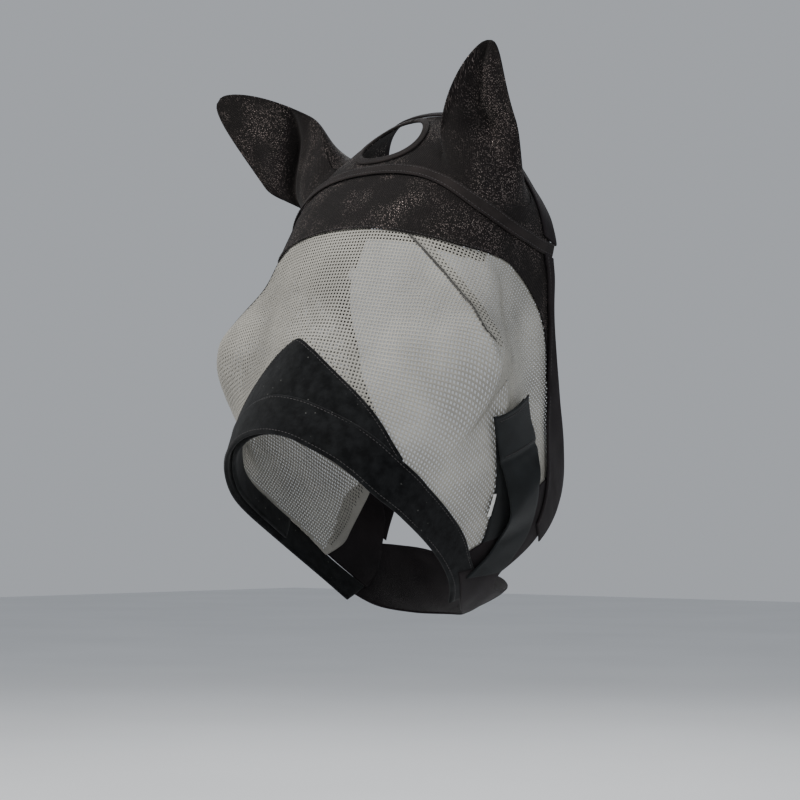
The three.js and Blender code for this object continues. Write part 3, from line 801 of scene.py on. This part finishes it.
def woven_mesh(name, outline, lift, material, relief):
    """Strands crossing in a square grid, with a border of filled cells along the outline."""
    loop = np.vstack([in_cloth(part)[:-1] for part in outline])
    low, high = loop.min(0), loop.max(0)
    columns = np.arange(math.floor(low[0] / MESH_PITCH) - 1, math.ceil(high[0] / MESH_PITCH) + 2)
    rows = np.arange(math.floor(low[1] / MESH_PITCH) - 1, math.ceil(high[1] / MESH_PITCH) + 2)
    x, y = np.meshgrid(columns * MESH_PITCH, rows * MESH_PITCH)

    def surface(x, y, height):
        around = np.stack([around_at(x[k], y[k, 0]) if np.ptp(y[k]) == 0 else
                           np.array([around_at(a, b) for a, b in zip(x[k], y[k])])
                           for k in range(len(x))])
        return head_points(around, y, lift + relief(x, y, loop) + height)

    half = MESH_THICKNESS / 2
    keep = inside_outline(x[:-1, :-1] + MESH_PITCH / 2, y[:-1, :-1] + MESH_PITCH / 2, loop)
    padded = np.pad(keep, 1)
    corner_kept = [padded[:-1, :-1], padded[:-1, 1:], padded[1:, :-1], padded[1:, 1:]]
    on_border = np.any(corner_kept, axis=0) & ~np.all(corner_kept, axis=0)
    x[on_border], y[on_border] = nearest_on(x[on_border], y[on_border], loop)
    touched = [on_border[:-1, :-1], on_border[:-1, 1:], on_border[1:, :-1], on_border[1:, 1:]]
    hem = keep & np.any(touched, axis=0)
    parity = np.where((columns[None, :] + rows[:, None]) % 2, 1, -1) * CROSSING_RISE
    hole = (1 - STRAND_SHARE) / 2 * MESH_PITCH
    middle_x, middle_y = (0.25 * (grid[:-1, :-1] + grid[:-1, 1:] + grid[1:, :-1] + grid[1:, 1:])
                          for grid in (x, y))
    hole = np.where(hem, HEM_SHARE * hole, hole)
    corners = [(-hole, -hole), (hole, -hole), (hole, hole), (-hole, hole)]
    layers = []
    for face in (1, -1):
        crossing = surface(x, y, parity + face * half)
        rims = [surface(middle_x + dx, middle_y + dy, face * (half - STRAND_FALL)) for dx, dy in corners]
        layers.append((crossing, rims))
    wide, high_count = len(columns), len(rows)
    number = np.arange(wide * high_count).reshape(high_count, wide)
    cell = np.arange((wide - 1) * (high_count - 1)).reshape(high_count - 1, wide - 1)
    per_layer = number.size + 4 * cell.size
    points, flat = [], []
    for crossing, rims in layers:
        points += [crossing.reshape(-1, 3)] + [r.reshape(-1, 3) for r in rims]
        flat += [np.stack([x.ravel(), y.ravel()], -1)]
        flat += [np.stack([(middle_x + dx).ravel(), (middle_y + dy).ravel()], -1) for dx, dy in corners]
    points, flat = np.vstack(points), np.vstack(flat)
    around_cell = [number[:-1, :-1], number[:-1, 1:], number[1:, 1:], number[1:, :-1]]
    rim_of = [number.size + k * cell.size + cell for k in range(4)]
    faces = []
    for k in range(4):
        m = (k + 1) % 4
        top = [around_cell[k][keep], around_cell[m][keep], rim_of[m][keep], rim_of[k][keep]]
        faces.append(np.stack(top[::-1], -1))
        faces.append(np.stack(top, -1) + per_layer)
        open_cells = keep & ~hem
        rim, next_rim = rim_of[k][open_cells], rim_of[m][open_cells]
        faces.append(np.stack([rim + per_layer, next_rim + per_layer, next_rim, rim], -1))
    filled = np.stack([rim[hem] for rim in rim_of], -1)
    faces += [filled[:, ::-1], filled + per_layer]
    sides = [(0, 1, padded[:-2, 1:-1]), (1, 2, padded[1:-1, 2:]), (2, 3, padded[2:, 1:-1]),
             (3, 0, padded[1:-1, :-2])]
    for k, m, neighbour in sides:
        edge_cells = keep & ~neighbour
        a, b = around_cell[k][edge_cells], around_cell[m][edge_cells]
        faces.append(np.stack([a, b, b + per_layer, a + per_layer], -1))
    faces = np.vstack(faces)
    used, faces = np.unique(faces, return_inverse=True)
    return add_mesh(name, points[used], faces.reshape(-1, 4), material, flat[used])


def dart_step(x, y):
    """The mesh stands proud along each dart's fold and drops sharply beyond it."""
    line = in_cloth(DART_SEAM)
    inwards = DART_SLANT * (np.interp(y, line[:, 1], line[:, 0]) - np.abs(x))
    along_it = smooth(y, line[0, 1], line[0, 1] + 18) * smooth(y, line[-1, 1] + 7, line[-1, 1] - 3)
    cliff = DART_RISE * smooth(inwards, -1.2, 1.2) * np.exp(-np.maximum(inwards, 0) / DART_FADE)
    return cliff * along_it


def face_relief(x, y, loop):
    """Folds in the mesh: over the brow bone, beside the eye and down from the dart."""
    ripples = 0.9 * wobble(x, y, 2.0, 60)
    folds = sum(fold(x, y, line, height, width) for line, height, width in FACE_FOLDS)
    edge_fade = np.clip(distance_to(x, y, np.vstack([loop, loop[:1]])) / MESH_RELIEF_FADE, 0, 1)
    return edge_fade ** 1.5 * (ripples + folds) + dart_step(x, y)


mesh_top = both_sides(BROW_SEAM)
mesh_foot = both_sides(moved(PATCH_EDGE + NOSE_SIDE_EDGE[1:], SEAM_LAP))
mesh_finish = MESH_REAR[:-1] + moved(MESH_REAR[-1:], SEAM_LAP)
face_outline = [mesh_top, mesh_finish, mesh_foot[::-1], mirrored(mesh_finish)[::-1]]
face_mesh = woven_mesh("face_mesh_weave", face_outline, MESH_LIFT, WEAVE, face_relief)
fit(face_mesh, "mesh", "face_mesh")
face_loop = np.vstack([in_cloth(part)[:-1] for part in face_outline])


def on_face(around, along):
    return face_relief(girth_at(around, along), along, face_loop)


for side_name, side in (("left", 1), ("right", -1)):
    dart = [on_side(DART_SEAM, side), on_side(DART_TAPE_EDGE, side)]
    dart_outline = [dart[0], [dart[0][-1], dart[1][-1]], dart[1][::-1], [dart[1][0], dart[0][0]]]
    # The doubling takes the lighter copy of the mesh colour, which is painted light.
    doubled = woven_mesh(f"{side_name}_dart_doubling", dart_outline, DOUBLING_LIFT, WEAVE_PAINTED_LIGHTER,
                         lambda x, y, loop: face_relief(x, y, face_loop))
    fit(doubled, "mesh", f"{side_name}_dart_tape")
    line = edge(dart[0])(np.linspace(0, 1, 120))
    lift = DART_CORD_LIFT + on_face(line[:, 0], line[:, 1])
    path = head_points(line[:, 0], line[:, 1], lift)
    taper = DART_CORD_THIN + DART_CORD_SWELL * np.sin(np.linspace(0.35, math.pi - 0.25, 120))
    # The tube along the fold is coloured near-black, as a painted shadow line.
    cord_on(f"{side_name}_dart_fold_shadow", path, taper, DART_PAINTED_SHADOW, "hood", "mesh")
    beside = head_points(line[:, 0] + side * DART_STITCH_AWAY, line[:, 1], lift + 0.1)
    stitch_row(f"{side_name}_dart_stitching", beside, "mesh", GREY_THREAD, "hood", 3.4, 2.4, 0.34)

# ---------------- crown


def ripple(amount, seed, size):
    def relief(around, along, u, v):
        edges = np.clip(6 * np.minimum(np.minimum(u, 1 - u), np.minimum(v, 1 - v)), 0, 1)
        return amount * edges * wobble(girth_at(around, along), along, seed, size)
    return relief


band_top = both_sides(moved(TAPE_FOOT, -3) + BROW_BAND_REAR[1:])
band_foot = both_sides(moved(BROW_SEAM, SEAM_LAP)[:-1] + BROW_BAND_FOOT_END)
brow_band = cloth_panel("brow_band_knit", ruled(band_top, band_foot), KNIT_LAYER, (520, 52), 3.2, KNIT,
                        ripple(0.5, seed=3, size=40))
fit(brow_band, "knit", "brow_band")
brow_stitch_line = both_sides(moved(BROW_SEAM, SEAM_LAP - 1.6)[:-1])
stitches("brow_band_stitching", brow_stitch_line, STITCH_LIFTS["brow_band"], "knit", BLACK_THREAD)

brow_tape = cloth_panel("brow_tape_woven", ruled(both_sides(TAPE_TOP), both_sides(TAPE_FOOT)), TAPE_LAYER,
                        (420, 16), 2.2, TAPE, ripple(0.25, seed=5, size=30))
fit(brow_tape, "tape", "brow_tape")
for tape_edge, shift, label in ((TAPE_TOP, 2.2, "upper"), (TAPE_FOOT, -2.2, "lower")):
    stitches(f"brow_tape_{label}_stitching", both_sides(moved(tape_edge, shift)),
             STITCH_LIFTS["brow_tape"], "tape", BLACK_THREAD)

seam_tape = both_sides(BROW_SEAM[:-1])
brow_seam = cloth_panel("brow_seam_tape_woven", ruled(moved(seam_tape, 2), moved(seam_tape, 12)),
                        SEAM_TAPE_LAYER, (350, 10), 2.5, TAPE)
fit(brow_seam, "tape", "brow_seam_tape")

EAR_HOLE = 1.02                      # the crown's holes, as shares of the ear roots' reach
ear_ovals = [{"around": side * EAR_AROUND, "along": EAR_ALONG,
              "reach_around": EAR_REACH_AROUND * EAR_HOLE,
              "reach_along": EAR_REACH_ALONG * EAR_HOLE} for side in (1, -1)]
poll = cloth_panel("poll_panel_knit",
                   ruled(both_sides(POLL_SIDE[::-1]), both_sides(moved(TAPE_TOP, 3))),
                   KNIT_LAYER, (420, 105), 2.2, KNIT, ripple(0.5, seed=7, size=34), [*ear_ovals, FORELOCK])
fit(poll, "knit", "poll_panel")

# The band laps over the crown's edge and runs on to the brow tape.
POLL_LAP = [[93.5, -62]] + [[around * 0.975, along + 2.5] for around, along in POLL_SIDE]
POLL_RIM = [[98.2, -64.5]] + POLL_BAND_OUTER
poll_band = cloth_panel("poll_edge_band_soft",
                        ruled(both_sides(POLL_LAP[::-1]), both_sides(POLL_RIM[::-1])),
                        POLL_BAND_LAYER, (470, 9), 2.2, SOFT)
fit(poll_band, "band", "poll_edge_band")


BINDING_TURN = 0.995                 # share of a full turn
BINDING_INNER, BINDING_BREADTH = 0.92, 0.24     # as shares of the opening's reach


def binding_area(u, v):
    turn = -math.pi / 2 + 2 * math.pi * BINDING_TURN * u
    reach = BINDING_INNER + BINDING_BREADTH * v
    return np.stack([FORELOCK["around"] + FORELOCK["reach_around"] * reach * np.cos(turn),
                     FORELOCK["along"] + FORELOCK["reach_along"] * reach * np.sin(turn)], -1)


binding = cloth_panel("forelock_binding_woven", binding_area, BINDING_LAYER, (190, 8), 1.6, TAPE)
fit(binding, "tape", "forelock_binding")

# ---------------- ear covers

EAR_TAPER = 0.55
EAR_TIP_SHARE = 0.994
EAR_FLAT_FROM = 0.4
EAR_VALLEY, EAR_BACK = 7, 26
EAR_ROOT_REACH = 1.10                # the root is tucked under the crown
EAR_FABRIC = 1.0
EAR_COLUMNS, EAR_ROWS = 64, 60
EAR_BEND = (0.02, 0.36)              # shares of the height over which the root gives way


def ear_axes(ear):
    axis, face = np.array(ear["tip"], float), np.array(ear["facing"], float)
    face = unit(face - axis * (face @ axis) / (axis @ axis))
    wide = unit(np.cross(axis, face))
    return axis, face, wide if wide[0] * ear["side"] > 0 else -wide


def ear_middle(ear, front, share, height):
    axis, face, wide = ear_axes(ear)
    foot = head_points(ear["side"] * EAR_AROUND, EAR_ALONG)
    turn = (1 if front else -1) * math.pi * share
    root = 1 + (EAR_ROOT_REACH - 1) * smooth(height, 0.05, 0.0)
    ring = head_points(ear["side"] * (EAR_AROUND + EAR_REACH_AROUND * root * np.cos(turn)),
                       EAR_ALONG + EAR_REACH_ALONG * root * np.sin(turn), 1.2) - foot
    hollow = EAR_VALLEY if front else EAR_BACK
    edge_on = np.abs(np.sin(turn))
    deep = hollow * edge_on
    if front:
        x, y = share * 2 * ear["half_width"], height * np.linalg.norm(ear["tip"])
        scale = np.array([2 * ear["half_width"], np.linalg.norm(ear["tip"])])
        risen = smooth(height, 0.0, 0.12) * edge_on
        for line, fold_depth, fold_width in ear["folds"]:
            off = distance_to(x, y, np.array(line) * scale) / fold_width
            deep = deep + fold_depth * np.exp(-off ** 2) * risen
    flat = wide * (ear["half_width"] * np.cos(turn))[..., None] - face * deep[..., None]
    into_flat = smooth(height, 0, EAR_FLAT_FROM)[..., None]
    narrow = (np.clip(1 - height, 0, 1) ** EAR_TAPER)[..., None]
    bend = np.array(ear["bow"], float) * (4 * height * (1 - height))[..., None]
    return foot + axis * height[..., None] + bend + (ring * (1 - into_flat) + flat * into_flat) * narrow


def ear_panel(name, ear, front):
    columns, rows = EAR_COLUMNS, EAR_ROWS
    u, v = np.meshgrid(np.linspace(0.004, 0.996, columns + 1), np.linspace(0, EAR_TIP_SHARE, rows + 1))
    middle = ear_middle(ear, front, u, v)
    step = 0.004
    across = ear_middle(ear, front, u + step, v) - ear_middle(ear, front, u - step, v)
    above, below = np.minimum(v + step, 0.99), np.maximum(v - step, 0)
    up = ear_middle(ear, front, u, above) - ear_middle(ear, front, u, below)
    outward = unit(np.cross(across, up))
    _, face, _ = ear_axes(ear)
    centre = outward[rows // 2, columns // 2]
    if centre @ face * (1 if front else -1) < 0:
        outward = -outward
    outer = middle + outward * EAR_FABRIC / 2
    inner = middle - outward * EAR_FABRIC / 2
    quads = grid_quads(columns, rows)
    if np.dot(np.cross(middle[0, 1] - middle[0, 0], middle[1, 0] - middle[0, 0]), outward[0, 0]) < 0:
        quads = quads[:, ::-1]
    points, faces = closed_layer(outer.reshape(-1, 3), inner.reshape(-1, 3), quads)
    run_across = np.cumsum(np.linalg.norm(np.diff(middle, axis=1, prepend=middle[:, :1]), axis=-1), axis=1)
    run_up = np.cumsum(np.linalg.norm(np.diff(middle, axis=0, prepend=middle[:1]), axis=-1), axis=0)
    run_across = run_across - run_across[:, columns // 2][:, None]
    cloth = np.stack([run_across.ravel(), run_up.ravel()], -1)
    return add_mesh(name, points, faces, KNIT, np.vstack([cloth, cloth]))


# Folds in each front: points as shares across and up, then the depth and the width.
EARS["left"]["folds"] = [
    ([(0.26, 0.02), (0.40, 0.24), (0.53, 0.5), (0.57, 0.9)], 13, 8),
    ([(0.70, 0.02), (0.74, 0.24), (0.70, 0.4)], -8, 13),
    ([(0.16, 0.3), (0.30, 0.6), (0.38, 0.9)], -4, 8),
]
EARS["right"]["folds"] = [
    ([(0.12, 0.12), (0.5, 0.36), (0.9, 0.58)], 15, 7),
    ([(0.30, 0.40), (0.62, 0.66)], -5, 13),
    ([(0.62, 0.16), (0.86, 0.36)], -5, 9),
]

EARS["left"].update(flat=(0.105, 0.150), area=0.0100)     # each half laid flat, in metres
EARS["right"].update(flat=(0.130, 0.180), area=0.0150)

for side_name, ear in EARS.items():
    axis, face, wide = ear_axes(ear)
    foot = head_points(ear["side"] * EAR_AROUND, EAR_ALONG)
    start, end = (tuple((foot + axis * share) * MM) for share in EAR_BEND)
    for half_name, front in (("front", True), ("back", False)):
        piece = ear_panel(f"{side_name}_ear_{half_name}_knit", ear, front)
        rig.blend(piece, "hood", f"{side_name}_ear", start=start, end=end)
        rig.replaces(piece, f"{side_name}_ear_{half_name}")
        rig.slot(piece, "knit")
        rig.sheet(piece, flat=ear["flat"], area=ear["area"], held="stretched", rests_on=[])

# ---------------- nose

nose_patch = cloth_panel("nose_patch_fleece",
                         ruled(both_sides(PATCH_EDGE), both_sides(moved(NOSE_BAND_TOP[:6], 2))),
                         PATCH_LAYER, (230, 58), 2.4, FLEECE, ripple(0.5, seed=11, size=45))
fit(nose_patch, "fleece", "nose_patch")
stitches("nose_patch_stitching", both_sides(moved(PATCH_EDGE, 3.4)), STITCH_LIFTS["nose_patch"],
         "fleece", BLACK_THREAD)

nose_band = cloth_panel("nose_band_fleece", ruled(both_sides(NOSE_BAND_TOP), both_sides(NOSE_BAND_FOOT)),
                        NOSE_BAND_LAYER, (560, 39), 2.6, FLEECE, ripple(0.5, seed=13, size=50))
fit(nose_band, "fleece", "nose_band")
for name, band_edge, shift in (("upper", NOSE_BAND_TOP, 3.0), ("lower", NOSE_BAND_FOOT, -3.4)):
    stitches(f"nose_band_{name}_stitching", both_sides(moved(band_edge, shift)),
             STITCH_LIFTS["nose_band"], "fleece", BLACK_THREAD)

lining = cloth_panel("nose_lining_fleece",
                     ruled(both_sides(moved(PATCH_EDGE, 12) + [[100, 219]]),
                           both_sides(moved(NOSE_BAND_FOOT[:7], -3) + [[100, 240]])),
                     LINING_LAYER, (420, 40), 3.2, FLEECE, ripple(0.35, seed=17, size=35))
fit(lining, "fleece", "nose_lining")

# ---------------- rear edges and throat

for side_name, side in (("left", 1), ("right", -1)):
    # The band runs on up to the brow tape.
    inner = on_side([[95.2, -47.5]] + EDGE_BAND_INNER, side)
    outer = on_side([[98.6, -50.5]] + EDGE_BAND_OUTER, side)
    piece = cloth_panel(f"{side_name}_edge_band_soft", ruled(inner, outer), EDGE_LAYER, (235, 30),
                        2.6, SOFT, ripple(0.5, seed=19 + side, size=38))
    fit(piece, "band", f"{side_name}_edge_band")
    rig.sheet(piece, flat=(0.030, 0.240), held="stretched", rests_on=[])
    seam = [[around + side * 1.1, along] for around, along in inner]
    stitches(f"{side_name}_edge_band_stitching", seam, STITCH_LIFTS["edge_band"], "band",
             BLACK_THREAD)
    throat = cloth_panel(f"{side_name}_throat_panel_soft",
                         bordered(on_side(THROAT_REAR, side), on_side(THROAT_FOOT, side),
                                  on_side(THROAT_FRONT, side), on_side(THROAT_INNER_END, side)),
                         THROAT_LAYER, (85, 80), 2.6, SOFT, ripple(0.4, seed=23 + side, size=30))
    fit(throat, "band", f"{side_name}_throat_panel")
    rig.sheet(throat, flat=(0.085, 0.115), area=0.0062, held="stretched", rests_on=[])

# ---------------- the closure

loop_strip = cloth_panel("cheek_loop_strip_pile", ruled(LOOP_FRONT, LOOP_REAR), LOOP_LAYER, (140, 45), 1.6,
                         LOOPS, ripple(0.3, seed=29, size=20))
fit(loop_strip, "hook", "cheek_loop_strip")


def strap_stand_off(around, along, u, v):
    loose = np.clip((u - STRAP_STUCK) / (STRAP_BULGE_END - STRAP_STUCK), 0, 1)
    bulge = STRAP_BULGE * np.sin(math.pi * loose) ** 2
    crease = -STRAP_CREASE_DEPTH * np.exp(-((u - STRAP_STUCK) / STRAP_CREASE_WIDTH) ** 2)
    ripples = 0.35 * wobble(u * 250, v * 45, 31, 45)
    end = STRAP_END_RISE * smooth(u, 0.03, 0.0)
    return bulge + crease + ripples + end


def place_on(area, share, layer):
    """A point in metres on the middle line of a layer, a share of the way along it."""
    around, along = area(np.array([share]), np.array([0.5]))[0]
    return tuple(float(part) for part in head_points(around, along, sum(layer) / 2) * MM)


def bend(area, shares, layer):
    """Where a piece's bend starts and ends."""
    return {"start": place_on(area, shares[0], layer), "end": place_on(area, shares[1], layer)}


strap_area = ruled(STRAP_FRONT, STRAP_REAR)
flap_area = ruled(FLAP_FRONT, FLAP_REAR)
strap = cloth_panel("closure_strap_webbing", strap_area, STRAP_LAYER, (215, 46), 1.8,
                    WEBBING, strap_stand_off)
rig.blend(strap, "throat_flap", "closure_strap", **bend(strap_area, STRAP_BEND, STRAP_LAYER))
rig.replaces(strap, "closure_strap")
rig.slot(strap, "webbing")
for name, share in STRAP_STITCHES.items():
    ends = strap_area(np.full(2, share), np.array([0.06, 0.94])).tolist()
    stitches(f"strap_{name}_stitching", ends, STITCH_LIFTS["strap"], "webbing", BLACK_THREAD,
             body="closure_strap", pitch=3)


def hook_area(u, v):
    return strap_area(HOOK_MARGIN + (STRAP_STUCK - HOOK_MARGIN) * u, HOOK_SIDE + (1 - 2 * HOOK_SIDE) * v)


hook_tape = cloth_panel("strap_hook_tape_pile", hook_area, HOOK_LAYER, (38, 40), 1.6, LOOPS)
fit(hook_tape, "hook", "strap_hook_tape", body="closure_strap")

flap = cloth_panel("throat_flap_soft", flap_area, FLAP_LAYER, (265, 105), 2.8, SOFT,
                   ripple(0.9, seed=37, size=60))
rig.blend(flap, "hood", "throat_flap", **bend(flap_area, FLAP_BEND, FLAP_LAYER))
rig.replaces(flap, "throat_flap")
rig.slot(flap, "band")

LABEL_FROM, LABEL_BREADTH = 0.2, 0.45    # the part of the outline the label takes up, front to rear
LABEL_CURL = 4.5                         # how far its front edge stands off the mesh
label_area = ruled(LABEL_FRONT, LABEL_REAR)
label = cloth_panel("side_label_satin", lambda u, v: label_area(u, LABEL_FROM + LABEL_BREADTH * v),
                    LABEL_LAYER, (20, 8), 1.0, LABEL,
                    lambda around, along, u, v: LABEL_CURL * (1 - v) ** 1.2)
fit(label, "label", "side_label")

# ---------------- sheets and padding

SHEETS = [
    (face_mesh, (0.66, 0.26), 0.134), (brow_band, (0.50, 0.068), 0.026), (poll, (0.42, 0.115), 0.020),
    (strap, (0.045, 0.192), None), (flap, (0.245, 0.085), None), (loop_strip, (0.045, 0.150), None),
    (poll_band, (0.0135, 0.47), None),
]
for piece, flat, area in SHEETS:
    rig.sheet(piece, flat=flat, held="stretched", rests_on=[], area=area)
for piece in (nose_band, nose_patch, lining):
    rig.padded(piece, fill=0.5)

# ---------------- floor, light and camera

FLOOR_HEIGHT = -0.72
FLOOR_REACH = 9.0


def floor_material():
    n = Nodes("pale_floor", 0.85)
    slow = n.ramp(n.noise(n.object, 1.5, 2), 0.3, 0.7)
    colour = n.mix(slow, (0.72, 0.73, 0.74, 1), (0.76, 0.77, 0.78, 1))
    return n.finish(colour)


corners = [(x * FLOOR_REACH / MM, y * FLOOR_REACH / MM, FLOOR_HEIGHT / MM)
           for x, y in ((-1, -1), (1, -1), (1, 1), (-1, 1))]
floor = add_mesh("floor", corners,
                 [[0, 1, 2, 3]], floor_material(), smooth=False)
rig.stage(floor)

MIDDLE = Vector((0.0, 0.06, -0.11))


def area_light(name, place, size, power, colour):
    light = bpy.data.lights.new(name, "AREA")
    light.shape, light.size = "DISK", size
    light.energy, light.color = power, colour
    lamp = bpy.data.objects.new(name, light)
    lamp.location = place
    lamp.rotation_euler = (MIDDLE - Vector(place)).to_track_quat("-Z", "Y").to_euler()
    bpy.context.scene.collection.objects.link(lamp)


area_light("key", (-0.9, -2.2, 2.0), 0.8, 115, (1.0, 0.98, 0.95))
area_light("fill", (2.4, -0.9, 0.7), 1.4, 34, (0.95, 0.97, 1.0))
area_light("rim", (-1.2, 2.0, 1.6), 1.2, 30, (1.0, 1.0, 1.0))

world = bpy.data.worlds.new("studio")
world.use_nodes = True
world.node_tree.nodes["Background"].inputs["Color"].default_value = (0.80, 0.84, 0.90, 1)
world.node_tree.nodes["Background"].inputs["Strength"].default_value = 0.5
bpy.context.scene.world = world

CAMERA_PLACE = Vector((1.316, -1.388, -0.272))
CAMERA_TARGET = Vector((0.0, 0.084, -0.120))
CAMERA_LENS = 94.1
CAMERA_SHIFT = (-0.0065, -0.0475)

camera = bpy.data.objects.new("camera", bpy.data.cameras.new("camera"))
camera.location = CAMERA_PLACE
camera.rotation_euler = (CAMERA_TARGET - CAMERA_PLACE).to_track_quat("-Z", "Y").to_euler()
camera.data.lens = CAMERA_LENS
camera.data.shift_x, camera.data.shift_y = CAMERA_SHIFT
camera.data.clip_end = 50
bpy.context.scene.collection.objects.link(camera)
bpy.context.scene.camera = camera

low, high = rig.bounds()
json.dump({"cad": [list(cad_low), list(cad_high)], "visual": [list(low), list(high)]},
          open("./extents.json", "w"))
